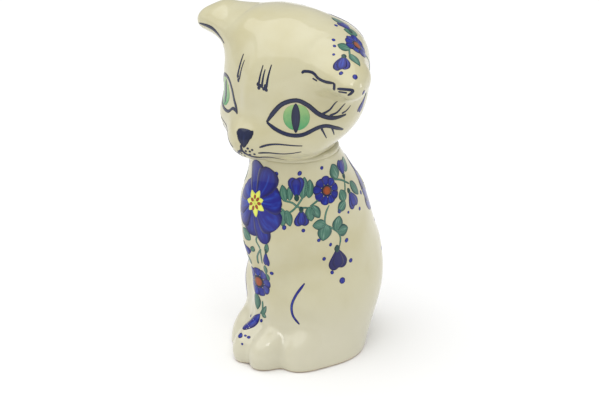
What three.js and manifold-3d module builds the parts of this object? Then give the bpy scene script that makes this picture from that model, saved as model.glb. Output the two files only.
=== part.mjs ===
// A seated cat figurine in glazed stoneware, slip-cast in two hollow pieces: a body with its legs,
// haunches and tail, and a head with its ears. The head is luted onto the neck with a ring of slip.
// Millimetres, +Z up. The cat faces -Y, and its left side is +X. The origin is under the middle of the
// figurine's box, on the surface that it stands on.
import * as THREE from "three";
import { mergeVertices } from "three/addons/utils/BufferGeometryUtils.js";
import Module from "manifold-3d";

// Driving dimensions
const neckHeight = 124; // height of the luted joint
const neckRadius = 25.2; // of the body where the head sits
const wall = 5; // thickness of the castings
const neckHoleRadius = 15; // the opening through the joint, which lets the head's air out
const ventRadius = 9; // the hole in the base
const slipThickness = 0.9; // of the slip in the joint
const slipRecess = 0.4; // how far the slip's edge stays inside the neck
const clearance = 0.3; // between pieces that touch
const baseEdge = 1.5; // rounding where the sides meet the base
const headWidth = 87; // of the skull, without the ears
const headTables = { width: 87, rise: 35 }; // the skull they describe, and its centre over the joint
const headScale = headWidth / headTables.width;
const headCentre = new THREE.Vector3(0, 0, neckHeight + headTables.rise * headScale);
const headTilt = THREE.MathUtils.degToRad(4); // the head leans towards the cat's left

// Fineness of the surfaces
const bodyMeridians = 80;
const bodyRings = 52;
const ringCrowding = 1.35; // how much closer the rings stand at the paws
const headMeridians = 84;
const headRings = 54;
const earMeridians = 28;
const earRings = 20;
const innerMeridians = 28;
const innerRings = 18;
const frontCrowding = 0.35; // how much closer the meridians stand at the cat's front
const holeSegments = 48;
const slipSegments = 64;
const rayStart = { body: 75, head: 90, ear: 40 }; // far enough out to be off every surface
const ray = { steps: 200, shortest: 0.25, nearest: 0.5, halvings: 30 }; // how a ray closes in
const beyond = 200; // past everything, for the solids that only cut
const axisForward = 4; // the body's rings are drawn from a line this far in front of its middle

// The body's torso: half width, front and back of each level, measured from the neck's axis. A level is
// a share of the neck's height.
const torso = [
  { level: 0, half: 38, front: -28, back: 42 },
  { level: 0.12, half: 35.5, front: -24, back: 50 },
  { level: 0.28, half: 34.5, front: -22.5, back: 61.5 },
  { level: 0.475, half: 34, front: -24, back: 59.5 },
  { level: 0.58, half: 34, front: -28, back: 54 },
  { level: 0.71, half: 33, front: -31, back: 48 },
  { level: 0.79, half: 31.5, front: -30, back: 44 },
  { level: 0.9, half: 27.5, front: -25, back: 34 },
  { level: 1, half: neckRadius, front: -neckRadius, back: neckRadius },
].map((row) => ({ ...row, z: row.level * neckHeight }));

// The front legs: how far each stands out from the middle, its half width, front and back.
const frontLeg = [
  { level: 0, out: 5.2, half: 8.4, front: -25.5, back: -5 },
  { level: 0.16, out: 4.8, half: 8, front: -24.6, back: -3 },
  { level: 0.28, out: 4.5, half: 7.8, front: -24.6, back: -3.2 },
  { level: 0.42, out: 4.5, half: 8.2, front: -25.8, back: -4 },
  { level: 0.58, out: 5.5, half: 11, front: -30.5, back: -6 },
  { level: 0.73, out: 6, half: 11, front: -27.5, back: -5 },
].map((row) => ({ ...row, z: row.level * neckHeight }));
const legGroove = 1.5; // rounding at the bottom of the groove between the front legs
const legBlend = 8; // and where a leg runs into the flank
const legFade = 10; // the height over which a leg sinks into the chest

// Rounded masses of the body. Each pair is mirrored, so x is the distance from the middle.
const bodyLumps = [
  { name: "shank", at: [21.5, -10, 3], radii: [11.5, 17, 20], blend: 9 },
  { name: "knee", at: [17, -3, 40], radii: [12, 14, 16], blend: 9 },
  { name: "haunch", at: [18, 14, 32], radii: [17, 27, 30], blend: 12 },
];
const frontPaw = { at: [6.6, -25.5, 6.5], radii: [10.5, 15, 14], groove: 3, blend: 8 };

// The tail lies along the cat's right side: a row of points with its radius there.
const tail = [
  { at: [6, 41, 6], radius: 6 },
  { at: [-8, 41, 7], radius: 7 },
  { at: [-22, 33, 7], radius: 7 },
  { at: [-31, 19, 7], radius: 6.5 },
  { at: [-34, 4, 6.5], radius: 6 },
  { at: [-33, -8, 6], radius: 5 },
];
const tailBlend = 4;

// Rounded masses of the head, from the skull's centre, mirrored in the same way.
const skull = { name: "skull", at: [0, 1, 5], radii: [43.5, 36.5, 40], blend: 0 };
const headLumps = [
  skull,
  { name: "cheeks", at: [0, -13, -17], radii: [37, 24, 19], blend: 10 },
  { name: "muzzle", at: [0, -27, -21.5], radii: [15, 16.5, 13], blend: 9 },
  { name: "nose bridge", at: [0, -27.5, 2], radii: [5, 9, 22], blend: 6 },
  { name: "poll", at: [13, 13.5, 21.5], radii: [19, 19, 17], blend: 8 },
];
const throat = { top: -29, blend: 5 }; // a short upright collar, as wide as the neck

// The ears stand out sideways, each a wedge from two roots to one tip, hollowed in front and below.
// The right one is set a little higher than the left.
const ear = { tipRadius: 6.5, blend: 16 };
const earRoots = { front: { at: [24, -9, 23], radius: 15 }, back: { at: [25, 5, 22], radius: 17 } };
const earTips = { left: [54, -14, 19], right: [55, -14, 26] };
const earBack = { inward: [-7, 9, 2], radius: 10 }; // where the wide back edge ends, short of the tip
const earHollow = { below: [-5, -9, -15], radii: [16, 11, 10], blend: 12 };
const earJoint = { facing: new THREE.Vector3(0.8, -0.2, 0.5).normalize(), out: 45 };

const wasm = await Module();
wasm.setup();

// --- Distances -------------------------------------------------------------------------------

// Roughly how far a point is outside an ellipse or ellipsoid, negative inside.
function ellipsoidDistance(offsets, radii) {
  let near = 0;
  let slope = 0;
  offsets.forEach((d, i) => {
    near += (d / radii[i]) ** 2;
    slope += (d / radii[i] ** 2) ** 2;
  });
  return slope > 0 ? (Math.sqrt(near) * (Math.sqrt(near) - 1)) / Math.sqrt(slope) : -Math.min(...radii);
}

// Distance to a stick that is thicker at one end.
function taperedDistance(p, a, b, radiusA, radiusB) {
  const along = b.map((v, i) => v - a[i]);
  const length2 = along.reduce((s, v) => s + v * v, 0);
  const dot = p.reduce((s, v, i) => s + (v - a[i]) * along[i], 0);
  const t = THREE.MathUtils.clamp(dot / length2, 0, 1);
  const away = Math.hypot(...p.map((v, i) => v - a[i] - t * along[i]));
  return away - THREE.MathUtils.lerp(radiusA, radiusB, t);
}

// The nearer of two distances, with the corner between them filled over the width k.
function joined(a, b, k) {
  if (k <= 0) return Math.min(a, b);
  const h = Math.max(k - Math.abs(a - b), 0) / k;
  return Math.min(a, b) - (h * h * h * k) / 6;
}

const carved = (a, b, k) => -joined(-a, b, k);

// A value from a table of levels, eased between them with a Catmull-Rom curve.
function atLevel(table, z, key) {
  const last = table.length - 1;
  const at = THREE.MathUtils.clamp(z, table[0].z, table[last].z);
  let i = table.findIndex((row) => row.z >= at);
  i = THREE.MathUtils.clamp(i, 1, last);
  const [p0, p1, p2, p3] = [i - 2, i - 1, i, i + 1].map((n) => table[THREE.MathUtils.clamp(n, 0, last)]);
  const t = (at - p1.z) / (p2.z - p1.z);
  const slope = (q, r) => (r.z === q.z ? 0 : (r[key] - q[key]) / (r.z - q.z));
  const m1 = slope(p0, p2) * (p2.z - p1.z);
  const m2 = slope(p1, p3) * (p2.z - p1.z);
  const t2 = t * t;
  const t3 = t2 * t;
  return (2 * t3 - 3 * t2 + 1) * p1[key] + (t3 - 2 * t2 + t) * m1 + (3 * t2 - 2 * t3) * p2[key] + (t3 - t2) * m2;
}

function sectionDistance(table, x, y, z) {
  const front = atLevel(table, z, "front");
  const back = atLevel(table, z, "back");
  return ellipsoidDistance([x, y - (front + back) / 2], [atLevel(table, z, "half"), (back - front) / 2]);
}

const legTop = frontLeg[frontLeg.length - 1].z;

function bodyDistance(x, y, z) {
  let d = sectionDistance(torso, x, y, z);
  const right = Math.abs(x);
  if (z < legTop + legFade) {
    const fade = Math.max(0, z - legTop);
    const leg = (side) => sectionDistance(frontLeg, side * x - atLevel(frontLeg, z, "out"), y, z);
    d = joined(d, joined(leg(1), leg(-1), legGroove) + fade, legBlend);
  }
  for (const lump of bodyLumps) {
    const offsets = [right - lump.at[0], y - lump.at[1], z - lump.at[2]];
    d = joined(d, ellipsoidDistance(offsets, lump.radii), lump.blend);
  }
  const paw = (side) =>
    ellipsoidDistance([side * x - frontPaw.at[0], y - frontPaw.at[1], z - frontPaw.at[2]], frontPaw.radii);
  d = joined(d, joined(paw(1), paw(-1), frontPaw.groove), frontPaw.blend);
  let tailDistance = Infinity;
  for (let i = 1; i < tail.length; i++) {
    const [a, b] = [tail[i - 1], tail[i]];
    tailDistance = Math.min(tailDistance, taperedDistance([x, y, z], a.at, b.at, a.radius, b.radius));
  }
  return joined(d, tailDistance, tailBlend);
}

// The head is worked out at the size of its tables, and the distance brought back to its real size.
const headDistance = (x, y, z) => headScale * tableHead(x / headScale, y / headScale, z / headScale);

function tableHead(x, y, z) {
  const out = Math.abs(x);
  let d = Infinity;
  for (const lump of headLumps) {
    const offsets = [out - lump.at[0], y - lump.at[1], z - lump.at[2]];
    d = joined(d, ellipsoidDistance(offsets, lump.radii), lump.blend);
  }
  const collarRadius = neckRadius / headScale;
  const collar = ellipsoidDistance([x, y], [collarRadius, collarRadius]) + Math.max(0, z - throat.top);
  d = joined(d, collar, throat.blend);
  const tip = x > 0 ? earTips.left : earTips.right;
  const behind = tip.map((v, i) => v + earBack.inward[i]);
  const { front, back } = earRoots;
  const frontEdge = taperedDistance([out, y, z], front.at, tip, front.radius, ear.tipRadius);
  const backEdge = taperedDistance([out, y, z], back.at, behind, back.radius, earBack.radius);
  d = joined(d, joined(frontEdge, backEdge, ear.blend), ear.blend);
  const fromHollow = [out, y, z].map((v, i) => v - tip[i] - earHollow.below[i]);
  return carved(d, ellipsoidDistance(fromHollow, earHollow.radii), earHollow.blend);
}

const skullDistance = (x, y, z) =>
  headScale * ellipsoidDistance([x, y, z].map((v, i) => v / headScale - skull.at[i]), skull.radii);

// --- Surfaces --------------------------------------------------------------------------------

// How far along a ray the surface lies, going inwards from the far end.
function reach(distance, origin, direction, far, offset) {
  const at = (t) =>
    distance(origin[0] + t * direction[0], origin[1] + t * direction[1], origin[2] + t * direction[2]) + offset;
  let outside = far;
  let t = far;
  for (let i = 0; i < ray.steps && t > ray.nearest; i++) {
    const d = at(t);
    if (d <= 0) break;
    outside = t;
    t -= Math.max(ray.shortest, d / 2);
  }
  let inside = Math.max(t, ray.nearest);
  for (let i = 0; i < ray.halvings; i++) {
    const middle = (inside + outside) / 2;
    if (at(middle) > 0) outside = middle;
    else inside = middle;
  }
  return (inside + outside) / 2;
}

// A closed surface from rings of points, with a point at each end.
function skin(rings, bottom, top) {
  const count = rings[0].length;
  const points = [bottom, ...rings.flat(), top];
  const index = [];
  const at = (ring, i) => 1 + ring * count + (i % count);
  for (let i = 0; i < count; i++) {
    index.push(0, at(0, i + 1), at(0, i));
    index.push(points.length - 1, at(rings.length - 1, i), at(rings.length - 1, i + 1));
    for (let r = 0; r + 1 < rings.length; r++) {
      index.push(at(r, i), at(r, i + 1), at(r + 1, i + 1));
      index.push(at(r, i), at(r + 1, i + 1), at(r + 1, i));
    }
  }
  const geometry = new THREE.BufferGeometry().setFromPoints(points.map((p) => new THREE.Vector3(...p)));
  return geometry.setIndex(index);
}

function solidOf(geometry) {
  const bare = geometry.clone();
  bare.deleteAttribute("normal");
  bare.deleteAttribute("uv");
  const merged = mergeVertices(bare, 1e-4);
  return new wasm.Manifold(
    new wasm.Mesh({
      numProp: 3,
      vertProperties: new Float32Array(merged.attributes.position.array),
      triVerts: new Uint32Array(merged.index.array),
    }),
  );
}

function geometryOf(solid) {
  const mesh = solid.getMesh();
  const position = new Float32Array(mesh.numVert * 3);
  for (let i = 0; i < mesh.numVert; i++) {
    position.set(mesh.vertProperties.subarray(i * mesh.numProp, i * mesh.numProp + 3), i * 3);
  }
  return new THREE.BufferGeometry()
    .setAttribute("position", new THREE.BufferAttribute(position, 3))
    .setIndex(new THREE.BufferAttribute(mesh.triVerts, 1));
}

function cylinder(radius, low, high, y = 0, segments = holeSegments) {
  const geometry = new THREE.CylinderGeometry(radius, radius, high - low, segments);
  return solidOf(geometry.rotateX(Math.PI / 2).translate(0, y, (low + high) / 2));
}

// The compass direction of meridian i, 0 at the cat's front, with the front ones closer together.
function bearing(i, count, crowding) {
  const turn = (2 * Math.PI * i) / count;
  return turn - crowding * Math.sin(turn);
}

const axisOf = (z) => 0.5 * (atLevel(torso, z, "front") + atLevel(torso, z, "back")) - axisForward;

function bodySolid(offset, meridians, rings, crowding, low, high) {
  const levels = [];
  for (let r = 0; r <= rings; r++) levels.push(low + (high - low) * (r / rings) ** ringCrowding);
  const ringPoints = levels.map((z) => {
    const inset = z < baseEdge ? baseEdge - Math.sqrt(baseEdge ** 2 - (baseEdge - z) ** 2) : 0;
    const ring = [];
    for (let i = 0; i < meridians; i++) {
      const turn = bearing(i, meridians, crowding);
      const direction = [Math.sin(turn), -Math.cos(turn), 0];
      const origin = [0, axisOf(z), Math.max(z, baseEdge * 0.5)];
      const radius = reach(bodyDistance, origin, direction, rayStart.body, offset) - inset;
      ring.push([direction[0] * radius, origin[1] + direction[1] * radius, z]);
    }
    return ring;
  });
  return solidOf(skin(ringPoints, [0, axisOf(low), low], [0, axisOf(high), high]));
}

function headSolid(distance, offset, meridians, rings) {
  const direction = (turn, rise) =>
    [Math.sin(turn) * Math.cos(rise), -Math.cos(turn) * Math.cos(rise), Math.sin(rise)];
  const point = (turn, rise) => {
    const away = direction(turn, rise);
    const radius = reach(distance, [0, 0, 0], away, rayStart.head * headScale, offset);
    return away.map((v) => v * radius);
  };
  const ringPoints = [];
  for (let r = 1; r < rings; r++) {
    const rise = -Math.PI / 2 + (Math.PI * r) / rings;
    const ring = [];
    for (let i = 0; i < meridians; i++) ring.push(point(bearing(i, meridians, 0), rise));
    ringPoints.push(ring);
  }
  return onNeck(skin(ringPoints, point(0, -Math.PI / 2), point(0, Math.PI / 2)));
}

// An ear's surface: sections square to its axis, from inside the skull out to the tip.
function earSolid(side, offset) {
  const root = new THREE.Vector3(...earRoots.back.at).multiplyScalar(headScale);
  const tip = new THREE.Vector3(...(side > 0 ? earTips.left : earTips.right)).multiplyScalar(headScale);
  root.x *= side;
  tip.x *= side;
  const axis = tip.clone().sub(root).normalize();
  const across = new THREE.Vector3(0, 0, 1).cross(axis).normalize();
  const up = axis.clone().cross(across);
  const end = root.distanceTo(tip) + ear.tipRadius - offset;
  const farEnd = reach(headDistance, root.toArray(), axis.toArray(), end + 5, offset);
  const ringPoints = [];
  for (let r = 0; r < earRings; r++) {
    const along = farEnd * Math.sin((Math.PI / 2) * (r / earRings));
    const origin = root.clone().addScaledVector(axis, along);
    const ring = [];
    for (let i = 0; i < earMeridians; i++) {
      const turn = (2 * Math.PI * i) / earMeridians;
      const away = across.clone().multiplyScalar(Math.cos(turn)).addScaledVector(up, Math.sin(turn));
      const radius = reach(headDistance, origin.toArray(), away.toArray(), rayStart.ear, offset);
      ring.push(origin.clone().addScaledVector(away, radius).toArray());
    }
    ringPoints.push(ring);
  }
  const point = (along) => root.clone().addScaledVector(axis, along).toArray();
  return onNeck(skin(ringPoints, point(0), point(farEnd)));
}

// The slab of space outside one ear's joint, from a distance out to another.
function beyondJoint(side, from, to = beyond) {
  const facing = earJoint.facing.clone();
  facing.x *= side;
  const slab = new THREE.CylinderGeometry(beyond, beyond, to - from, 6);
  slab.translate(0, earJoint.out * headScale + (from + to) / 2, 0);
  slab.applyQuaternion(new THREE.Quaternion().setFromUnitVectors(new THREE.Vector3(0, 1, 0), facing));
  return onNeck(slab);
}

const onNeck = (geometry) =>
  solidOf(geometry.rotateY(headTilt).translate(headCentre.x, headCentre.y, headCentre.z));

// --- The pieces ------------------------------------------------------------------------------

function makeBody() {
  const outer = bodySolid(0, bodyMeridians, bodyRings, frontCrowding, 0, neckHeight);
  const inner = bodySolid(wall, innerMeridians, innerRings, 0, wall, neckHeight - wall);
  const vent = cylinder(ventRadius, -1, wall + 2, axisOf(wall));
  const neckHole = cylinder(neckHoleRadius, neckHeight - wall - 2, neckHeight + 1);
  return outer.subtract(inner).subtract(vent).subtract(neckHole);
}

function makeHead() {
  const low = neckHeight + clearance * 2 + slipThickness;
  const below = cylinder(beyond, -beyond, low);
  let outer = headSolid(headDistance, 0, headMeridians, headRings).subtract(below);
  for (const side of [-1, 1]) outer = outer.subtract(beyondJoint(side, 0));
  const innerBelow = cylinder(beyond, -beyond, low + wall);
  const inner = headSolid(skullDistance, wall, innerMeridians, innerRings).subtract(innerBelow);
  const neckHole = cylinder(neckHoleRadius, low - 1, low + wall + 2);
  return outer.subtract(inner).subtract(neckHole);
}

function makeNeckSlip() {
  const low = neckHeight + clearance;
  const ring = cylinder(neckRadius - slipRecess, low, low + slipThickness, 0, slipSegments);
  return ring.subtract(cylinder(neckHoleRadius, low - 1, low + slipThickness + 1));
}

const makeEarSlip = (side) =>
  earSolid(side, slipRecess).intersect(beyondJoint(side, clearance, clearance + slipThickness));

const makeEar = (side) => earSolid(side, 0).intersect(beyondJoint(side, clearance * 2 + slipThickness));

const glaze = { color: 0xe4ddb8, roughness: 0.12, metalness: 0 };
const slip = { color: 0xcfc29a, roughness: 0.6, metalness: 0 };
const figurine = new THREE.Group();

function addPiece(name, solid, finish) {
  const mesh = new THREE.Mesh(geometryOf(solid), new THREE.MeshStandardMaterial(finish));
  mesh.name = name;
  figurine.add(mesh);
}

addPiece("body_casting", makeBody(), glaze);
addPiece("head_casting", makeHead(), glaze);
addPiece("neck_slip", makeNeckSlip(), slip);
for (const [name, side] of [["left", 1], ["right", -1]]) {
  addPiece(`${name}_ear`, makeEar(side), glaze);
  addPiece(`${name}_ear_slip`, makeEarSlip(side), slip);
}

// The origin moves from under the neck to the middle of the whole figurine's box.
const middle = new THREE.Box3().setFromObject(figurine).getCenter(new THREE.Vector3());
for (const mesh of figurine.children) mesh.geometry.translate(-middle.x, -middle.y, 0);

export default figurine;
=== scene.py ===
import math
import random

import bpy
from bpy.props import FloatProperty, FloatVectorProperty, IntProperty, PointerProperty
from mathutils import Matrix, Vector
from mathutils.bvhtree import BVHTree


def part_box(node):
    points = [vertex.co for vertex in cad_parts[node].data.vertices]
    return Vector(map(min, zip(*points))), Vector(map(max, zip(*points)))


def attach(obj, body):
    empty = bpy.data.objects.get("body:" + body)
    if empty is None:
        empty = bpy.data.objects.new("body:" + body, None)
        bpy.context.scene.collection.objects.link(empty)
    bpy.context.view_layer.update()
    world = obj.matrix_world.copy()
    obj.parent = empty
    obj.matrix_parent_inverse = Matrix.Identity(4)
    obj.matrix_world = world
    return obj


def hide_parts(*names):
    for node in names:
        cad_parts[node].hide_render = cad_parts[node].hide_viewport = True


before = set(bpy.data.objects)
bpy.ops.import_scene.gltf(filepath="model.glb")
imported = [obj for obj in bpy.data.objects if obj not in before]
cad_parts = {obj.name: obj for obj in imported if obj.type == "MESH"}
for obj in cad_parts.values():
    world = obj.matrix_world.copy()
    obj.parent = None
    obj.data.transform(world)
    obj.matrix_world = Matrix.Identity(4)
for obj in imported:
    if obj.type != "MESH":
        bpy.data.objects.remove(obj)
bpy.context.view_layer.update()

bl_info = {
    "name": "Painted stoneware cat",
    "version": (1, 0, 0),
    "blender": (4, 5, 0),
    "location": "View3D > Sidebar > Cat",
    "description": "Glazes, paints and stages a slip-cast figurine of a seated cat",
    "category": "Object",
}

MM = 0.001
LOW, HIGH = (Vector(corner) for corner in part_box("neck_slip"))
NECK = (LOW + HIGH) / 2
HEAD_CENTRE = NECK + Vector((0, 0, 34.3 * MM))  # the point that the head is painted from
BODY_AXIS = NECK + Vector((0, 10 * MM, 0))  # and the upright line that the body is
RAY_START = 0.15  # metres from either of them, outside every surface
INNER_WALL = -0.3  # how far a face turns towards them before it belongs to the hollow


# --- Sizes and colours that a user would change ----------------------------------------------


def colour(name, description, default):
    """A colour property, in linear light."""
    return FloatVectorProperty(
        name=name, description=description, subtype="COLOR", size=3, min=0, max=1, default=default
    )


def length(name, description, millimetres):
    """A length property."""
    return FloatProperty(name=name, description=description, unit="LENGTH", default=millimetres * MM)


class CatCasting(bpy.types.PropertyGroup):
    voxel: length("Skin cell", "Size of the cells that the glazed skin is rebuilt from", 0.9)
    closing: length("Joint filling", "How far the skin swells to run over the slip at the ears", 0.35)
    softening: IntProperty(name="Softening", description="Times the skin is smoothed", default=14)
    bead: length("Neck bead", "Radius of the bead of slip in the neck's joint", 2.2)
    bead_rise: length("Bead's rise", "How far the bead stands out past the slip ring in the joint", 0.55)


class CatColours(bpy.types.PropertyGroup):
    cream: colour("Cream", "The clear glaze over the pale clay", (0.585, 0.55, 0.365))
    # Painted light: a lighter cream that the glaze turns to near the foot, standing in for fill light low
    # down.
    cream_lit_low: colour("Cream, thin", "The thinner glaze round the feet", (0.615, 0.585, 0.44))
    clay: colour("Clay", "The bare fired clay under the foot", (0.62, 0.5, 0.36))
    floor: colour("Floor", "The paper that the figurine stands on", (0.9, 0.9, 0.9))
    cobalt: colour("Cobalt", "Petals, buds and dots", (0.01, 0.012, 0.22))
    cobalt_dark: colour("Cobalt, pooled", "Where the cobalt is thick", (0.006, 0.003, 0.06))
    cobalt_deep: colour("Cobalt, deep", "The bell that hangs on each flank", (0.006, 0.006, 0.1))
    cobalt_light: colour("Cobalt, thin", "Where the brush left little cobalt", (0.018, 0.06, 0.4))
    teal: colour("Teal", "Leaves and stems", (0.05, 0.16, 0.11))
    teal_dark: colour("Teal, pooled", "Where the teal is thick", (0.01, 0.055, 0.05))
    teal_light: colour("Teal, thin", "Where the brush left little teal", (0.16, 0.3, 0.23))
    navy: colour("Navy", "The lines of the face", (0.012, 0.017, 0.052))
    navy_dark: colour("Navy, pooled", "Where the navy is thick", (0.004, 0.006, 0.022))
    yellow: colour("Yellow", "The middle of the pansy", (0.76, 0.8, 0.13))
    rust: colour("Rust", "The middles of the small flowers", (0.3, 0.065, 0.017))
    iris: colour("Iris", "The lower part of the eyes", (0.085, 0.33, 0.13))
    iris_light: colour("Iris, upper", "The upper part of the eyes", (0.3, 0.47, 0.18))


class CatPaint(bpy.types.PropertyGroup):
    lift: length("Lift", "How far the paint stands over the glaze's skin", 0.09)
    sink: length("Sink", "How far the paint reaches under the skin", 0.12)
    dots: FloatProperty(name="Dots", description="Size of the dots against the pattern's", default=1.2)
    layer: length("Layer", "How much higher each later layer of paint lies", 0.02)
    seed: IntProperty(name="Seed", description="Picks the small differences between strokes", default=7)


class CatStage(bpy.types.PropertyGroup):
    distance: length("Camera distance", "From the camera to the cat", 950)
    azimuth: FloatProperty(
        name="Camera azimuth", description="Around the cat from its front", subtype="ANGLE",
        default=math.radians(45),
    )
    elevation: FloatProperty(
        name="Camera elevation", description="Above the horizon", subtype="ANGLE",
        default=math.radians(22),
    )
    lens: FloatProperty(name="Lens", description="Focal length in millimetres", default=100.9)


# --- Materials -------------------------------------------------------------------------------


class Value:
    """A socket or number in a material's maths, so that masks are written as expressions."""

    def __init__(self, shader, socket):
        self.shader = shader
        self.socket = socket

    def _math(self, operation, first, second):
        return self.shader.node("ShaderNodeMath", {"operation": operation}, {0: first, 1: second})

    def __add__(self, other):
        return self._math("ADD", self, other)

    def __radd__(self, other):
        return self._math("ADD", other, self)

    def __sub__(self, other):
        return self._math("SUBTRACT", self, other)

    def __rsub__(self, other):
        return self._math("SUBTRACT", other, self)

    def __mul__(self, other):
        return self._math("MULTIPLY", self, other)

    def __rmul__(self, other):
        return self._math("MULTIPLY", other, self)

    def __pow__(self, other):
        return self._math("POWER", self, other)

    def ramp(self, low, high):
        """0 below low, 1 above high, and eased between."""
        settings = {"interpolation_type": "SMOOTHSTEP"}
        return self.shader.node("ShaderNodeMapRange", settings, {"Value": self, 1: low, 2: high})


class Shader:
    """A material and its Principled shader."""

    def __init__(self, name):
        self.material = bpy.data.materials.new(name)
        self.material.use_nodes = True
        self.tree = self.material.node_tree
        self.surface = self.tree.nodes["Principled BSDF"]

    def node(self, kind, settings=None, inputs=None, output=0):
        """Adds a node, sets it up, feeds its sockets and returns one of its outputs."""
        node = self.tree.nodes.new(kind)
        for key, value in (settings or {}).items():
            setattr(node, key, value)
        for key, value in (inputs or {}).items():
            self.feed(node.inputs[key], value)
        return Value(self, node.outputs[output])

    def feed(self, socket, value):
        """Links a value to a socket, or sets it on the socket when it is a constant."""
        if isinstance(value, Value):
            self.tree.links.new(value.socket, socket)
        elif isinstance(value, (tuple, list)) and len(value) == 3 and socket.type == "RGBA":
            socket.default_value = (*value, 1)
        else:
            socket.default_value = value

    def surface_inputs(self, **inputs):
        """Feeds the Principled shader's sockets, named with underscores for spaces."""
        for key, value in inputs.items():
            self.feed(self.surface.inputs[key.replace("_", " ")], value)

    def mix(self, factor, first, second):
        """A blend of two colours."""
        settings = {"data_type": "RGBA"}
        return self.node("ShaderNodeMix", settings, {0: factor, 6: first, 7: second}, output=2)

    def place(self):
        """The object's own coordinates, in metres."""
        return self.node("ShaderNodeTexCoord", output="Object")

    def brush(self):
        """How far a point is across a brush mark, and along it."""
        uv = self.node("ShaderNodeTexCoord", output="UV")
        along = self.node("ShaderNodeSeparateXYZ", {}, {0: uv}, output=0)
        across = self.node("ShaderNodeSeparateXYZ", {}, {0: uv}, output=1)
        return across, along

    def noise(self, scale, detail=2.0, vector=None):
        """Soft noise, centred on a half."""
        inputs = {"Vector": vector or self.place(), "Scale": scale, "Detail": detail}
        return self.node("ShaderNodeTexNoise", {}, inputs)

    def bump(self, height, distance):
        """Turns a height into a normal. The distance is the depth of the relief."""
        return self.node("ShaderNodeBump", {}, {"Height": height, "Distance": distance, "Strength": 1.0})


def scaled(shade, share):
    """A colour made lighter or darker."""
    return tuple(channel * share for channel in shade)


def glaze_material(colours):
    """Clear glaze over pale clay: glossy, a little uneven, with fine specks, painted light that lightens it
    towards the foot, and a bare foot.
    """
    shader = Shader("cream_glaze")
    cream = tuple(colours.cream)
    pooled = tuple(c * f for c, f in zip(cream, (0.93, 0.91, 0.82)))
    cloud = shader.noise(35.0, 3.0).ramp(0.35, 0.7)
    body = shader.mix(cloud, cream, pooled)
    speck = shader.noise(1500.0, 1.0).ramp(0.74, 0.8)
    body = shader.mix(speck * 0.25, body, (0.35, 0.25, 0.13))
    height = shader.node("ShaderNodeSeparateXYZ", {}, {0: shader.place()}, output=2)
    # Painted light: this mask lightens the glaze from 50 mm down to full at 15 mm, standing in for fill light
    # near the foot.
    thin = height.ramp(50 * MM, 15 * MM)
    body = shader.mix(thin, body, tuple(colours.cream_lit_low))
    wander = shader.noise(60.0, 2.0) * 0.6 * MM
    foot = (height + wander).ramp(1.5 * MM, 1.0 * MM)
    body = shader.mix(foot, body, tuple(colours.clay))
    ripple = shader.noise(45.0, 1.0)
    shader.surface_inputs(
        Base_Color=body,
        Roughness=0.4 + foot * 0.4,
        Specular_IOR_Level=0.25,
        Coat_Weight=0.8 - foot * 0.8,
        Coat_Roughness=0.06,
        Normal=shader.bump(ripple, 0.0012),
    )
    return shader.material


def pigment_material(name, base, pooled, thin):
    """Paint under the glaze: streaky along the brush, dark where it pools at the edges."""
    shader = Shader(name)
    across, along = shader.brush()
    tone = shader.node("ShaderNodeAttribute", {"attribute_name": "tone"}, output=2)
    seeded = shader.node("ShaderNodeCombineXYZ", {}, {0: along * 1.3, 1: across * 5.0, 2: tone * 40.0})
    streaks = shader.noise(1.6, 3.0, seeded)
    cloud = shader.noise(140.0, 3.0)
    edge = shader.node("ShaderNodeMath", {"operation": "ABSOLUTE"}, {0: across - 0.5}) * 2.0
    far_end = along.ramp(0.6, 1.0)
    near_end = along.ramp(0.22, 0.0)
    thick = edge.ramp(0.35, 0.95) * 0.8 + far_end * 0.7 + near_end * 0.5 + tone * 0.35
    rim = (thick - 0.15).ramp(0.0, 1.1)
    middle = (1.0 - edge.ramp(0.35, 0.8)) * (1.0 - far_end) * (1.0 - near_end)
    bare = streaks.ramp(0.42, 0.68) * middle
    painted = shader.mix(bare * cloud.ramp(0.25, 0.55), base, thin)
    painted = shader.mix(rim * (0.6 + cloud * 0.6), painted, pooled)
    shader.surface_inputs(
        Base_Color=painted, Roughness=0.4, Specular_IOR_Level=0.15, Coat_Weight=0.6, Coat_Roughness=0.06
    )
    return shader.material


def iris_material(colours):
    """Green wash, yellower towards the top of the eye."""
    shader = Shader("iris_wash")
    across, along = shader.brush()
    cloud = shader.noise(300.0, 3.0)
    share = along * 0.9 + cloud * 0.5 - 0.2
    wash = shader.mix(share.ramp(0.15, 0.85), tuple(colours.iris), tuple(colours.iris_light))
    shader.surface_inputs(
        Base_Color=wash, Roughness=0.4, Specular_IOR_Level=0.15, Coat_Weight=0.6, Coat_Roughness=0.06
    )
    return shader.material


def pigments(colours):
    """The material of each pigment, by name."""
    cobalt = tuple(colours.cobalt)
    pooled = tuple(colours.cobalt_dark)
    deep = tuple(colours.cobalt_deep)
    teal = tuple(colours.teal)
    teal_dark = tuple(colours.teal_dark)
    navy = tuple(colours.navy)
    navy_dark = tuple(colours.navy_dark)
    yellow = tuple(colours.yellow)
    rust = tuple(colours.rust)
    return {
        "cobalt": pigment_material("cobalt_paint", cobalt, pooled, tuple(colours.cobalt_light)),
        "deep_cobalt": pigment_material("deep_cobalt_paint", deep, pooled, deep),
        "teal": pigment_material("teal_paint", teal, teal_dark, tuple(colours.teal_light)),
        "teal_cup": pigment_material("dark_teal_paint", teal_dark, scaled(teal_dark, 0.6), teal_dark),
        "navy": pigment_material("navy_paint", navy, navy_dark, scaled(navy, 1.5)),
        "yellow": pigment_material("yellow_paint", yellow, scaled(yellow, 0.75), yellow),
        "rust": pigment_material("rust_paint", rust, scaled(rust, 0.6), scaled(rust, 1.4)),
        "iris": iris_material(colours),
    }


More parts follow.
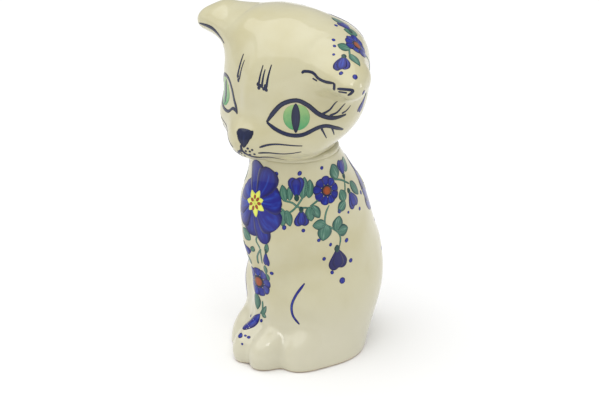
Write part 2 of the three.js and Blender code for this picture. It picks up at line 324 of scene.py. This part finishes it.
def slip_material(colours):
    """The slip in the neck's joint, a little darker under the glaze than the castings."""
    shader = Shader("neck_slip_line")
    shade = shader.noise(120.0, 2.0).ramp(0.3, 0.7)
    cream = tuple(colours.cream)
    shader.surface_inputs(
        Base_Color=shader.mix(shade, cream, scaled(cream, 0.93)),
        Roughness=0.3,
        Coat_Weight=0.4,
        Coat_Roughness=0.07,
    )
    return shader.material


def floor_material(colours):
    """Plain matt paper."""
    shader = Shader("white_paper")
    grain = shader.noise(900.0, 2.0)
    paper = tuple(colours.floor)
    grained = shader.mix(grain.ramp(0.3, 0.7), paper, scaled(paper, 0.99))
    shader.surface_inputs(Base_Color=grained, Roughness=0.8)
    return shader.material


# --- Modelling helpers -----------------------------------------------------------------------


def select_only(*objects):
    """Selects some objects and makes the first one active."""
    bpy.ops.object.select_all(action="DESELECT")
    for item in objects:
        item.select_set(True)
    bpy.context.view_layer.objects.active = objects[0]


def apply_modifier(item, kind, **settings):
    """Adds a modifier with some settings and applies it."""
    select_only(item)
    modifier = item.modifiers.new(kind.lower(), kind)
    for key, value in settings.items():
        setattr(modifier, key, value)
    bpy.ops.object.modifier_apply(modifier=modifier.name)


def copy_of_nodes(name, nodes):
    """One object holding copies of some CAD nodes' meshes, with their doubles merged."""
    copies = []
    for node in nodes:
        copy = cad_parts[node].copy()
        copy.data = copy.data.copy()
        copy.parent = None
        copy.matrix_world.identity()
        copy.data.materials.clear()
        bpy.context.collection.objects.link(copy)
        copies.append(copy)
    for copy in copies:
        select_only(copy)
        bpy.ops.object.mode_set(mode="EDIT")
        bpy.ops.mesh.select_all(action="SELECT")
        bpy.ops.mesh.remove_doubles(threshold=0.002 * MM)
        bpy.ops.mesh.tris_convert_to_quads()
        bpy.ops.object.mode_set(mode="OBJECT")
    select_only(*copies)
    if len(copies) > 1:
        bpy.ops.object.join()
    joined = bpy.context.view_layer.objects.active
    joined.name = name
    return joined


def keep_flats(skin, reach=2.5 * MM):
    """Weights that leave the foot and the neck's joint flat when the skin is smoothed."""
    soft = skin.vertex_groups.new(name="soft")
    flats = (0, LOW.z, HIGH.z)
    for vertex in skin.data.vertices:
        near = min(abs(vertex.co.z - flat) for flat in flats)
        soft.add([vertex.index], min(1, max(0, near / reach - 0.4)), "REPLACE")


def glazed_skin(name, nodes, casting, closing):
    """The fired, glazed surface of one or more CAD pieces as a single even skin."""
    skin = copy_of_nodes(name, nodes)
    if closing:
        apply_modifier(skin, "DISPLACE", strength=closing, mid_level=0)
    apply_modifier(skin, "REMESH", mode="VOXEL", voxel_size=casting.voxel)
    if closing:
        apply_modifier(skin, "DISPLACE", strength=-closing, mid_level=0)
    keep_flats(skin)
    apply_modifier(skin, "SMOOTH", factor=0.5, iterations=casting.softening, vertex_group="soft")
    select_only(skin)
    bpy.ops.object.shade_smooth()
    return skin


# --- Brush marks -----------------------------------------------------------------------------


def line_width(t):
    """An even line with blunt ends."""
    return min(1, 0.45 + 5 * t, 0.45 + 5 * (1 - t))


def tapered_width(t):
    """A line that starts thick and is drawn out thin."""
    return min(1, 0.5 + 5 * t) * (1 - 0.65 * t)


def swelling_width(t):
    """A line that is thickest in its middle."""
    return 0.25 + 0.75 * math.sin(math.pi * t)


def petal_width(t):
    """A petal, narrow where it starts and round at its far end."""
    return max(0.04, math.sin(math.pi * t**1.8) ** 0.5)


def bell_width(t):
    """A petal of a bell, opening almost to its far end."""
    return max(0.04, math.sin(math.pi * t**2.2) ** 0.5)


def leaf_width(t):
    """A rounded leaf, widest in its middle."""
    return max(0.04, math.sin(math.pi * t**0.9) ** 0.7)


def slit_width(t):
    """A long lens with a point at each end."""
    return max(0.03, math.sin(math.pi * t) ** 0.75)


def round_width(t):
    """A disc."""
    return max(0.04, math.sqrt(max(0, 1 - (2 * t - 1) ** 2)))


def nose_width(t):
    """Widest near the top, coming down to a blunt point."""
    return max(0.06, math.sin(math.pi * t**0.62) ** 0.65)


def smooth_path(points, count):
    """Points along a Catmull-Rom curve through some addresses, closer together at its ends."""
    last = len(points) - 1
    path = []
    for i in range(count + 1):
        at = last * (1 - math.cos(math.pi * i / count)) / 2
        k = min(int(at), last - 1)
        t = at - k
        p0, p1, p2, p3 = (points[min(max(n, 0), last)] for n in (k - 1, k, k + 1, k + 2))
        path.append([eased(*values, t) for values in zip(p0, p1, p2, p3)])
    return path


def eased(a, b, c, d, t):
    """A share t of the way from b to c, on the Catmull-Rom curve that comes from a and goes on to d."""
    bend = (2 * a - 5 * b + 4 * c - d) * t**2
    twist = (3 * b - a - 3 * c + d) * t**3
    return 0.5 * (2 * b + (c - a) * t + bend + twist)


class Canvas:
    """A glazed casting to paint on. A spot on it is a bearing from the cat's front, positive towards
    its left, with a height in millimetres on the body or an angle of rise on the head."""

    def __init__(self, skin, centre, by_height, paint, draw):
        self.centre = centre
        self.by_height = by_height
        outer = [face.vertices for face in skin.data.polygons if self.faces_out(face)]
        self.tree = BVHTree.FromPolygons([vertex.co for vertex in skin.data.vertices], outer)
        self.paint = paint
        self.draw = draw
        self.films = {}
        self.layer = 0

    def faces_out(self, face):
        """Whether a face belongs to the outside of the casting, not to the wall of its hollow."""
        away = face.center - self.centre
        if self.by_height:
            away.z = 0
        return away.normalized().dot(face.normal) > INNER_WALL

    def spot(self, bearing, level):
        """The point of the surface at an address."""
        if self.by_height:
            centre = Vector((self.centre.x, self.centre.y, level * MM))
            away = heading(math.radians(bearing), 0)
        else:
            centre = self.centre
            away = heading(math.radians(bearing), math.radians(level))
        found = self.tree.ray_cast(centre + away * RAY_START, -away)[0]
        if found is None:
            raise RuntimeError(f"no surface at bearing {bearing}, level {level}")
        return found

    def frame(self, point):
        """Directions to the right and up along the surface, as seen from outside it."""
        if self.by_height:
            out = Vector((point.x - self.centre.x, point.y - self.centre.y, 0)).normalized()
        else:
            out = (point - self.centre).normalized()
        up = (Vector((0, 0, 1)) - out * out.z).normalized()
        return up.cross(out), up

    def film(self, pigment, middles, widths, cells):
        """Adds one closed film of paint, with its middle line and its width at each point of it."""
        verts, uvs = [], []
        paint = self.paint
        lift = paint.lift + self.layer * paint.layer
        last = len(middles) - 1
        for side in (lift, -paint.sink):
            for i, (middle, width) in enumerate(zip(middles, widths)):
                along = (middles[min(i + 1, last)] - middles[max(i - 1, 0)]).normalized()
                normal = self.tree.find_nearest(middle)[1]
                across = normal.cross(along).normalized()
                for j in range(cells + 1):
                    share = j / cells
                    place, out = self.tree.find_nearest(middle + across * width * (0.5 - share))[:2]
                    verts.append(place + out * side)
                    uvs.append((i / last, share))
        row = cells + 1
        under = len(middles) * row
        faces = []
        for i in range(last):
            for j in range(cells):
                a = i * row + j
                faces.append((a, a + 1, a + row + 1, a + row))
                faces.append((under + a, under + a + row, under + a + row + 1, under + a + 1))
            for low, high in ((i * row, (i + 1) * row), ((i + 1) * row + cells, i * row + cells)):
                faces.append((low, high, under + high, under + low))
        for j in range(cells):
            end = last * row + j
            faces.append((j + 1, j, under + j, under + j + 1))
            faces.append((end, end + 1, under + end + 1, under + end))
        self.films.setdefault(pigment, []).append((verts, faces, uvs, self.draw.random()))

    def stroke(self, pigment, addresses, width, profile=line_width, count=None):
        """A stroke through some addresses."""
        if count is None:
            count = 7 * (len(addresses) - 1) + 6
        path = smooth_path(addresses, count)
        middles = [self.spot(*address) for address in path]
        shares = [(1 - math.cos(math.pi * i / count)) / 2 for i in range(count + 1)]
        self.film(pigment, middles, [width * MM * profile(t) for t in shares], 4)

    def dab(self, pigment, origin, turn, start, length, width, profile, cells=8, count=16):
        """A dab from one point of the surface in one direction, 0 for up and 90 for the right."""
        right, up = self.frame(origin)
        towards = up * math.cos(math.radians(turn)) + right * math.sin(math.radians(turn))
        shares = [(1 - math.cos(math.pi * i / count)) / 2 for i in range(count + 1)]
        middles = [
            self.tree.find_nearest(origin + towards * (start + (length - start) * t) * MM)[0] for t in shares
        ]
        self.film(pigment, middles, [width * MM * profile(t) for t in shares], cells)

    def dot(self, pigment, address, radius):
        """A round spot of paint, a little longer than wide."""
        origin = self.spot(*address)
        turn = self.draw.uniform(-40, 40)
        wide = radius * self.paint.dots
        longer = wide * self.draw.uniform(1.0, 1.25)
        self.dab(pigment, origin, turn, -longer, longer, 2 * wide, round_width, 6, 10)

    def leaf(self, bearing, level, turn, length, width):
        self.dab("teal", self.spot(bearing, level), turn, -0.5, length, width, leaf_width)

    def flower(self, bearing, level, radius, petals, turn=0):
        """A small round flower with a rusty middle."""
        origin = self.spot(bearing, level)
        width = 2 * math.pi * radius / petals * 0.95
        for i in range(petals):
            self.layer = i % 2
            reach = radius * self.draw.uniform(0.95, 1.06)
            self.dab("cobalt", origin, turn + 360 * i / petals, radius * 0.3, reach, width, petal_width)
        self.layer = 2
        heart = radius * 0.42
        self.dab("navy", origin, turn, -heart, heart, 2 * heart, round_width)
        self.layer = 3
        heart = radius * 0.29
        self.dab("rust", origin, turn, -heart, heart, 2 * heart, round_width)
        self.layer = 0

    def bud(self, bearing, level, turn, length, width, pigment="cobalt"):
        """A bud of three petals that open from a dark or green cup."""
        origin = self.spot(bearing, level)
        spread = math.degrees(math.atan2(width * 0.28, length))
        for layer, side in enumerate((-1, 1, 0)):
            self.layer = layer
            reach = length * (1 if side else 0.93)
            self.dab(pigment, origin, turn + side * spread, 0.5, reach, width * 0.6, bell_width)
        self.layer = 3
        self.dab("teal_cup", origin, turn, -1, length * 0.27, width * 0.3, leaf_width, 6, 10)
        self.layer = 0

    def pieces(self, prefix, materials, slot):
        """Joins the films of each pigment into one painted piece that rides on its casting."""
        for pigment, films in self.films.items():
            verts, faces, uvs, tones = [], [], [], []
            for film_verts, film_faces, film_uvs, tone in films:
                first = len(verts)
                verts += film_verts
                faces += [tuple(first + i for i in face) for face in film_faces]
                uvs += film_uvs
                tones += [tone] * len(film_verts)
            mesh = bpy.data.meshes.new(f"{prefix}_{pigment}")
            mesh.from_pydata(verts, [], faces)
            layer = mesh.uv_layers.new(name="brush")
            for loop in mesh.loops:
                layer.data[loop.index].uv = uvs[loop.vertex_index]
            tone = mesh.attributes.new("tone", "FLOAT", "POINT")
            tone.data.foreach_set("value", tones)
            mesh.materials.append(materials[pigment])
            item = bpy.data.objects.new(f"{prefix}_{pigment}", mesh)
            bpy.context.collection.objects.link(item)
            select_only(item)
            bpy.ops.object.shade_smooth()
            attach(item, "root")


# --- The painting ----------------------------------------------------------------------------

# The garland round the cat's shoulder, painted alike on both sides. Leaves and buds are given by where
# they start, the way that they point, their length and their width in millimetres.
SIDE_LEAVES = [
    (26, 102.5, -15, 9, 5), (30, 103, -5, 7.5, 4), (41, 104, 8, 11.5, 6), (47, 104, 7, 10, 5.5),
    (25, 97, 180, 9, 5), (28, 97, 167, 9, 5), (47, 98.5, 172, 8, 6), (50.5, 99, 153, 8, 5.5),
    (62, 88, -91, 7.5, 6.5), (63, 87, -169, 9.5, 9), (74, 82.5, 17, 8.5, 7.5), (77, 81, 82, 7, 7.5),
    (82, 111, -16, 9, 8), (101, 112, 30, 10, 7), (104, 105.5, 154, 10.5, 6.5), (87, 98, -12, 7, 6.5),
    (87, 97, -125, 7, 6),
]
SIDE_BUDS = [
    (36, 103, -2, 12.5, 9.5), (40, 98.5, 179, 10.5, 8.5), (94.5, 109.5, 4, 11, 8.5),
    (96, 102.5, 163, 12, 9),
]
SIDE_STEMS = [
    [(24, 102.5), (32, 101.5), (38, 99), (46, 98.5)],
    [(23, 98.5), (29, 96), (35.5, 99), (43, 106)],
    [(48, 99), (52, 100.5), (56, 102)],
    [(67, 98), (63, 94), (62, 88), (68, 85), (76, 81), (79, 77), (78, 72)],
    [(75.5, 111), (88, 109), (101, 105)],
    [(94.5, 109.5), (91.5, 104), (88, 101.5)],
]
SIDE_DOTS = [
    (16, 116.5, 0.9), (38, 117.5, 1), (61.5, 119, 0.9), (26.5, 87.5, 1), (42, 85.5, 0.9), (78.5, 93, 1),
    (90.5, 90.5, 0.7), (110, 89, 0.9), (56, 78.5, 0.9), (68, 74.5, 0.8), (86.5, 74.5, 1.1), (62, 66, 0.9),
    (92.5, 61, 1.1), (71, 56.5, 0.9), (81.5, 50.5, 1.6), (120, 96.5, 1),
]
KNEE_LINE = [(43, 51.5), (35, 44.5), (30.5, 37.5), (31.5, 31), (38, 26)]
RIGHT_SHIFT = 12  # degrees that the right shoulder's garland stands further round than the left's
SIDE_FLOWER = (66, 106, 8.2, 9)
SIDE_BELL = (75, 72.5, 172, 15, 12)

# The spray down the cat's chest, between the front legs, and the one on its right paw.
CHEST_LEAVES = [
    (-5.5, 75.5, -58, 9, 6.5), (-4.5, 68.5, 21, 3.5, 3.5), (-16.5, 63.5, 141, 7, 4.5), (11.5, 71, 8, 6, 3),
    (7.5, 61, -174, 6, 3), (7, 55.5, 159, 4.5, 3), (-9, 39.5, 176, 10, 6.5), (-2, 27.5, 29, 7.5, 3),
    (-2, 27.5, 100, 3.5, 3),
]
CHEST_BUDS = [(-15, 71.5, 139, 8, 6), (11.5, 72.5, -174, 11.5, 4.5)]
PAW_BELL = [(-4.5, 27.5), (-9.5, 22.5), (-14, 18)]
CHEST_STEMS = [
    [(3.5, 80.5), (1, 76), (5.5, 71.5), (4.5, 62)],
    [(6.5, 72), (0, 66), (-1.5, 60.5)],
    [(-1.5, 36), (-1.5, 31), (-4, 27.5)],
]
CHEST_DOTS = [
    (13, 57, 1), (-20, 17.5, 0.9), (-24, 21, 0.7), (-9, 16, 1.5), (-5.5, 16.5, 0.7), (-3, 16, 0.9),
    (-2.5, 23.5, 0.8), (-4.5, 12.5, 0.6),
]
CHEST_FLOWER = (-5, 48, 9.5, 9)

# A big flower is given by its bearing, its level and its size against the one on the chest.
CHEST_PANSY = (-1, 98.5, 1)
BACK_PANSY = (156, 98.5, 1.05)
NAPE_PANSY = (162, 33, 1.05)
PANSY_PETALS = [
    (-175, 20, 15), (-135, 20, 15), (-98, 19, 16), (-58, 19, 16), (158, 24, 11), (127, 20.5, 17),
    (-14, 23, 14), (68, 20, 17), (20, 21.5, 15),
]

# The spray down the cat's back, below its big flower.
BACK_STEMS = [
    [(174, 78), (171, 70), (175, 62), (173, 52)],
    [(172, 72), (165, 66), (160, 60)],
    [(175, 64), (182, 57), (186, 50)],
]
BACK_LEAVES = [
    (172, 74, 48, 10, 6.5), (173, 68, -62, 9, 6), (164, 65, 150, 8, 5), (181, 58, 20, 9, 6),
    (175, 56, -75, 8, 5), (186, 50, 100, 8, 5),
]
BACK_BUDS = [(159, 59, 165, 12, 9), (187, 49, 160, 13, 9.5)]
BACK_FLOWER = (173, 42, 9.5, 9)
BACK_DOTS = [
    (150, 72, 1), (196, 68, 1), (160, 44, 1.1), (190, 33, 0.9), (160, 31, 1),
    (148, 54, 0.9), (204, 52, 1),
]

# The face. The cat's left half is given, and its right half is the same turned over about the middle,
# with the lean of the head.
FACE_MIDDLE = 5
FACE_LEAN = 0.15
EYE_CORNER = 21.5
LEFT_EYE = [
    (
        2.5,
        line_width,
        [(21.5, -13.5), (28, -4), (36, 4.5), (47, 8), (56, 3.5), (65, -4.5), (75, -8), (86, -6.5)],
    ),
    (
        2.2,
        line_width,
        [
            (21.5, -13.5), (30, -17.5), (41, -20), (52, -19.5), (65, -15), (72, -14.5), (80, -17.5),
            (89, -21.5),
        ],
    ),
]
RIGHT_EYE = [
    (2.1, line_width, [(-11, -13), (-19, -4.5), (-23.5, 6), (-31, 12.5), (-44, 11), (-60, -1), (-74, 3)]),
    (1.8, line_width, [(-11, -12.5), (-19.5, -11), (-27, -15), (-40, -14), (-54, -9), (-62, -8), (-78, -12)]),
]
FACE_LINES = [
    (1.5, tapered_width, [(67, -5), (73, -1), (76, 6)]),
    (1.5, tapered_width, [(73, -6), (78.5, -3), (82, 3.5)]),
    (1.3, tapered_width, [(82, -5), (85.5, -3), (88, 0.5)]),
    (1.4, tapered_width, [(67, -16), (69, -19.5), (72, -24.5)]),
    (1.3, tapered_width, [(76, -16.5), (80, -24)]),
    (1.4, tapered_width, [(16.5, -30.5), (33, -27.5), (51.5, -27)]),
    (1.3, tapered_width, [(14.5, -35), (32, -36.5), (51, -32)]),
    (1.2, tapered_width, [(14, -40), (23, -42.5), (37, -48)]),
]
# Each iris has its middle, half height and half width, and each pupil its line and its width.
IRISES = [((47, -6.5), 7.5, 7.4), ((-38, -1.5), 8.2, 6.2)]
PUPILS = [([(46.5, 5.5), (46.5, -6.5), (46.5, -18.5)], 4.8), ([(-35, 10), (-38, 0), (-37, -12)], 3.6)]
WHISKER_DOTS = [(8, -30), (6, -32), (9, -32.5), (11, -31.5), (8, -35.5), (11.5, -35.5)]
MIDDLE_LINES = [
    (1.5, line_width, [(3.5, -27), (3, -31), (5, -34.5), (9, -38), (15, -41)]),
    (1.5, line_width, [(3, -31), (-1.5, -34), (-6, -38.5)]),
    (1.4, tapered_width, [(13, 17), (13.8, 25), (15, 33.5)]),
    (1.5, tapered_width, [(16.5, 15.5), (17, 24), (18, 30.5)]),
    (1.6, tapered_width, [(21, 16), (22, 25), (24, 34.5)]),
    (1.7, tapered_width, [(-14.5, 18), (-14, 28), (-14, 37.5)]),
    (1.3, tapered_width, [(-11, 17), (-10.5, 25), (-9.5, 33.5)]),
]
BROW_DOTS = [(12.5, 18), (13.5, 15), (15, 17), (18.5, 15), (20, 17.5), (21, 14.5), (-14, 19), (-12.5, 16)]
LEFT_EAR_LINES = [
    (1.6, line_width, [(51, 27.5), (53, 28.5), (58, 27), (61, 23), (64, 20.5), (67.5, 19)]),
    (1.6, line_width, [(67.5, 19), (67.5, 15.5)]),
    (1.5, line_width, [(68.5, 16), (71, 15.5), (74, 14.5), (72, 12.5)]),
    (0.9, line_width, [(58, 23.5), (60.5, 21.5)]),
    (0.9, line_width, [(69, 14.5), (71.5, 13.8)]),
]
RIGHT_EAR_LINE = (2.2, swelling_width, [(-70, 26.5), (-67, 29), (-63, 31.5), (-58, 32), (-50, 32)])

# The spray at the back of the head, painted alike on both sides.
NAPE_LEAVES = [
    (112, 43, -43, 9, 6.5), (87.5, 36, -39, 7.5, 6.5), (84.5, 32.5, -170, 10, 5.5), (112, 52, 20, 11, 6),
    (112, 24, 150, 9, 6),
]
NAPE_BUDS = [(107, 46, 16, 10.5, 8), (79.5, 33, -150, 11, 9.5), (108, 4, -154, 12, 6)]
NAPE_FLOWER = (99, 37, 8, 9)
NAPE_SHIFT = 32  # degrees that the right ear's spray stands further round than the left's
NAPE_STEMS = [[(88, 37), (83, 32)], [(104, 30), (112, 22), (112, 10)], [(106, 42), (111, 50), (116, 58)]]
NAPE_DOTS = [
    (99, 55, 0.9), (81, 45, 0.9), (78, 40.5, 0.8), (73.5, 35, 0.7), (71.5, 23.5, 1),
    (77, 20.5, 1.2), (80.5, 12.5, 0.9),
]


def placed(side, bearing, shift):
    """A bearing of the cat's left side, or the matching one of its right side with an extra turn."""
    return bearing if side > 0 else -bearing - shift


def spray(canvas, stems, leaves, buds, width, side=1, shift=0):
    """The stems, leaves and buds of one spray. Side is -1 for its copy on the cat's right."""
    for points in stems:
        canvas.stroke("teal", [(placed(side, bearing, shift), level) for bearing, level in points], width)
    for bearing, *leaf in turned(leaves, side):
        canvas.leaf(placed(side, bearing, shift), *leaf)
    for bearing, *bud in turned(buds, side):
        canvas.bud(placed(side, bearing, shift), *bud)


def blossom(canvas, flower, dots, side=1, shift=0):
    """The small flower of one spray, and the dots round it."""
    bearing, *rest = flower
    canvas.flower(placed(side, bearing, shift), *rest)
    for bearing, level, radius in dots:
        canvas.dot("cobalt", (placed(side, bearing, shift), level), radius)


def turned(marks, side):
    """Leaves or buds whose slant is turned over on the cat's right side."""
    return [(bearing, level, side * turn, *size) for bearing, level, turn, *size in marks]


def garland(canvas, side):
    """The garland of one shoulder. Side is 1 for the cat's left and -1 for its right."""
    spray(canvas, SIDE_STEMS, SIDE_LEAVES, SIDE_BUDS, 1.1, side, RIGHT_SHIFT)
    [(bearing, *bell)] = turned([SIDE_BELL], side)
    canvas.bud(placed(side, bearing, RIGHT_SHIFT), *bell, "deep_cobalt")
    blossom(canvas, SIDE_FLOWER, SIDE_DOTS, side, RIGHT_SHIFT)
    knee = [(placed(side, bearing, RIGHT_SHIFT), height) for bearing, height in KNEE_LINE]
    canvas.stroke("cobalt", knee, 1.5)


def pansy(canvas, bearing, level, size):
    """A big flower with a yellow middle and rusty dots."""
    origin = canvas.spot(bearing, level)
    for layer, (turn, length, width) in enumerate(PANSY_PETALS):
        canvas.layer = layer
        canvas.dab("cobalt", origin, turn, 2, length * size, width * size, petal_width, 12, 20)
    canvas.layer = len(PANSY_PETALS)
    for i in range(7):
        length = canvas.draw.uniform(6, 8.5) * size
        canvas.dab("yellow", origin, 10 + 360 * i / 7, -1, length, 4.2 * size, leaf_width)
    canvas.layer += 1
    for i in range(7):
        turn = 35 + 360 * i / 7
        start = canvas.draw.uniform(1.2, 2.4) * size
        canvas.dab("rust", origin, turn, start, start + 2.8 * size, 1.9 * size, round_width, 6, 10)
    canvas.layer = 0


def chest_spray(canvas):
    """The stems, leaves, buds and small flower below the pansy, and the bell on the paw."""
    spray(canvas, CHEST_STEMS, CHEST_LEAVES, CHEST_BUDS, 1.2)
    canvas.stroke("cobalt", PAW_BELL, 8.5, bell_width, 20)
    blossom(canvas, CHEST_FLOWER, CHEST_DOTS)


def back_spray(canvas):
    """The stems, leaves, buds and small flower down the cat's back."""
    spray(canvas, BACK_STEMS, BACK_LEAVES, BACK_BUDS, 1.2)
    blossom(canvas, BACK_FLOWER, BACK_DOTS)


def turned_over(bearing, rise):
    """The spot of the face's right half that matches one of its left half."""
    return 2 * FACE_MIDDLE - bearing, rise + FACE_LEAN * (bearing - EYE_CORNER)


def face(canvas):
    """The eyes, lashes, whiskers, nose, mouth and brows."""
    halves = (lambda bearing, rise: (bearing, rise), turned_over)
    for middle, half_height, half_width in IRISES:
        centre = canvas.spot(*middle)
        canvas.dab("iris", centre, 0, -half_height, half_height, 2 * half_width, round_width, 12, 24)
    canvas.layer = 1
    for points, width in PUPILS:
        canvas.stroke("navy", points, width, slit_width)
    for half in halves:
        for width, profile, points in FACE_LINES:
            canvas.stroke("navy", [half(*point) for point in points], width, profile)
        for spot in WHISKER_DOTS:
            canvas.dot("navy", half(*spot), 0.55)
    for width, profile, points in [*LEFT_EYE, *RIGHT_EYE, *MIDDLE_LINES, *LEFT_EAR_LINES, RIGHT_EAR_LINE]:
        canvas.stroke("navy", points, width, profile)
    for spot in BROW_DOTS:
        canvas.dot("navy", spot, 0.8)
    canvas.layer = 2
    canvas.dab("navy", canvas.spot(4, -18.8), 184, 0, 9.5, 10.5, nose_width, 12, 24)
    canvas.layer = 0


def nape_spray(canvas, side):
    """The flowers behind one ear."""
    spray(canvas, NAPE_STEMS, NAPE_LEAVES, NAPE_BUDS, 1.1, side, NAPE_SHIFT)
    blossom(canvas, NAPE_FLOWER, NAPE_DOTS, side, NAPE_SHIFT)


# --- The stage -------------------------------------------------------------------------------

FLOOR_SIZE = 18  # metres, so that its edge is out of sight
SKY = 0.47  # strength of the white all round
AIM_BELOW_NECK = 24.8 * MM  # the point that the camera and the lights are turned to
FRAMING = {"right": 3.4 * MM, "down": 7.9 * MM}  # from that point to the middle of the picture
PANEL_DISTANCE = 0.9
# Each soft panel has its azimuth and elevation in degrees, its size in metres and its power in watts.
PANELS = [
    ("key_light", 64, 47, 0.22, 0.7),
    ("right_light", 132, 14, 0.22, 0.7),
    ("left_light", -50, 25, 0.3, 0.2),
]
CEILING = {"direction": (-15, 75), "spread": 90, "strength": 2.2}


# --- Operators -------------------------------------------------------------------------------


class CAT_OT_castings(bpy.types.Operator):
    """Rebuild both castings with a smooth glazed skin"""

    bl_idname = "cat.castings"
    bl_label = "Glazed castings"

    def execute(self, context):
        casting = context.scene.cat_casting
        glaze = glaze_material(context.scene.cat_colours)
        pieces = {
            "glazed_body": (["body_casting"], "glazed_body", 0),
            "glazed_head": (
                ["head_casting", "left_ear", "right_ear", "left_ear_slip", "right_ear_slip"],
                "glazed_head",
                casting.closing,
            ),
        }
        for name, (nodes, slot, closing) in pieces.items():
            skin = glazed_skin(name, nodes, casting, closing)
            skin.data.materials.append(glaze)
            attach(skin, "root")
            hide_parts(*nodes)
        bpy.ops.mesh.primitive_torus_add(
            location=NECK,
            major_radius=(HIGH.x - LOW.x) / 2 + casting.bead_rise - casting.bead,
            minor_radius=casting.bead,
            major_segments=160,
            minor_segments=24,
        )
        bead = context.object
        bead.name = "neck_slip_bead"
        bpy.ops.object.transform_apply()
        bpy.ops.object.shade_smooth()
        bead.data.materials.append(slip_material(context.scene.cat_colours))
        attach(bead, "root")
        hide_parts("neck_slip")
        return {"FINISHED"}


class CAT_OT_painting(bpy.types.Operator):
    """Paint the flowers and the face on the glazed castings"""

    bl_idname = "cat.painting"
    bl_label = "Painting"

    def execute(self, context):
        paint = context.scene.cat_paint
        draw = random.Random(paint.seed)
        materials = pigments(context.scene.cat_colours)
        body = Canvas(bpy.data.objects["glazed_body"], BODY_AXIS, True, paint, draw)
        for side in (1, -1):
            garland(body, side)
        chest_spray(body)
        pansy(body, *CHEST_PANSY)
        back_spray(body)
        pansy(body, *BACK_PANSY)
        body.pieces("body", materials, "glazed_body")
        head = Canvas(bpy.data.objects["glazed_head"], HEAD_CENTRE, False, paint, draw)
        face(head)
        for side in (1, -1):
            nape_spray(head, side)
        pansy(head, *NAPE_PANSY)
        head.pieces("head", materials, "glazed_head")
        return {"FINISHED"}


class CAT_OT_stage(bpy.types.Operator):
    """Set up the floor, the soft lights and the camera"""

    bl_idname = "cat.stage"
    bl_label = "Stage"

    def execute(self, context):
        stage = context.scene.cat_stage
        bpy.ops.object.select_all(action="DESELECT")
        bpy.ops.mesh.primitive_plane_add(size=FLOOR_SIZE)
        floor = context.object
        floor.name = "floor"
        floor.data.materials.append(floor_material(context.scene.cat_colours))

        world = bpy.data.worlds.new("studio")
        context.scene.world = world
        world.use_nodes = True
        world.node_tree.nodes["Background"].inputs["Color"].default_value = (1, 1, 1, 1)
        world.node_tree.nodes["Background"].inputs["Strength"].default_value = SKY

        aim = NECK - Vector((0, 0, AIM_BELOW_NECK))
        for name, azimuth, elevation, size, power in PANELS:
            away = heading(math.radians(azimuth), math.radians(elevation))
            bpy.ops.object.light_add(type="AREA", location=aim + away * PANEL_DISTANCE)
            lamp = context.object
            lamp.name = name
            lamp.rotation_euler = away.to_track_quat("Z", "Y").to_euler()
            lamp.data.shape = "SQUARE"
            lamp.data.size = size
            lamp.data.energy = power

        overhead = heading(*(math.radians(angle) for angle in CEILING["direction"]))
        bpy.ops.object.light_add(type="SUN", location=aim + overhead)
        ceiling = context.object
        ceiling.name = "ceiling_light"
        ceiling.rotation_euler = overhead.to_track_quat("Z", "Y").to_euler()
        ceiling.data.angle = math.radians(CEILING["spread"])
        ceiling.data.energy = CEILING["strength"]

        towards = heading(stage.azimuth, stage.elevation)
        right = Vector((math.cos(stage.azimuth), math.sin(stage.azimuth), 0))
        up = towards.cross(right)
        centre = aim + right * FRAMING["right"] - up * FRAMING["down"]
        bpy.ops.object.camera_add(location=aim + towards * stage.distance)
        camera = context.object
        camera.rotation_euler = (camera.location - centre).to_track_quat("Z", "Y").to_euler()
        camera.data.lens = stage.lens
        camera.data.clip_end = FLOOR_SIZE
        context.scene.camera = camera
        context.scene.view_settings.view_transform = "Standard"
        return {"FINISHED"}


def heading(azimuth, elevation):
    """The unit vector towards an azimuth, 0 at the cat's front, and an elevation."""
    flat = math.cos(elevation)
    return Vector((math.sin(azimuth) * flat, -math.cos(azimuth) * flat, math.sin(elevation)))


class CAT_PT_sidebar(bpy.types.Panel):
    bl_label = "Painted cat"
    bl_idname = "CAT_PT_sidebar"
    bl_space_type = "VIEW_3D"
    bl_region_type = "UI"
    bl_category = "Cat"

    def draw(self, context):
        for name in GROUPS:
            group = getattr(context.scene, name)
            for key in group.__annotations__:
                self.layout.prop(group, key)
        for operator in OPERATORS:
            self.layout.operator(operator.bl_idname)


GROUPS = {"cat_casting": CatCasting, "cat_colours": CatColours, "cat_paint": CatPaint, "cat_stage": CatStage}
OPERATORS = [CAT_OT_castings, CAT_OT_painting, CAT_OT_stage]


def register():
    for item in [*GROUPS.values(), *OPERATORS, CAT_PT_sidebar]:
        bpy.utils.register_class(item)
    for name, group in GROUPS.items():
        setattr(bpy.types.Scene, name, PointerProperty(type=group))


def unregister():
    for name in GROUPS:
        delattr(bpy.types.Scene, name)
    for item in [CAT_PT_sidebar, *reversed(OPERATORS), *GROUPS.values()]:
        bpy.utils.unregister_class(item)


def main():
    register()
    bpy.ops.cat.castings()
    bpy.ops.cat.painting()
    bpy.ops.cat.stage()


if __name__ == "__main__":
    main()
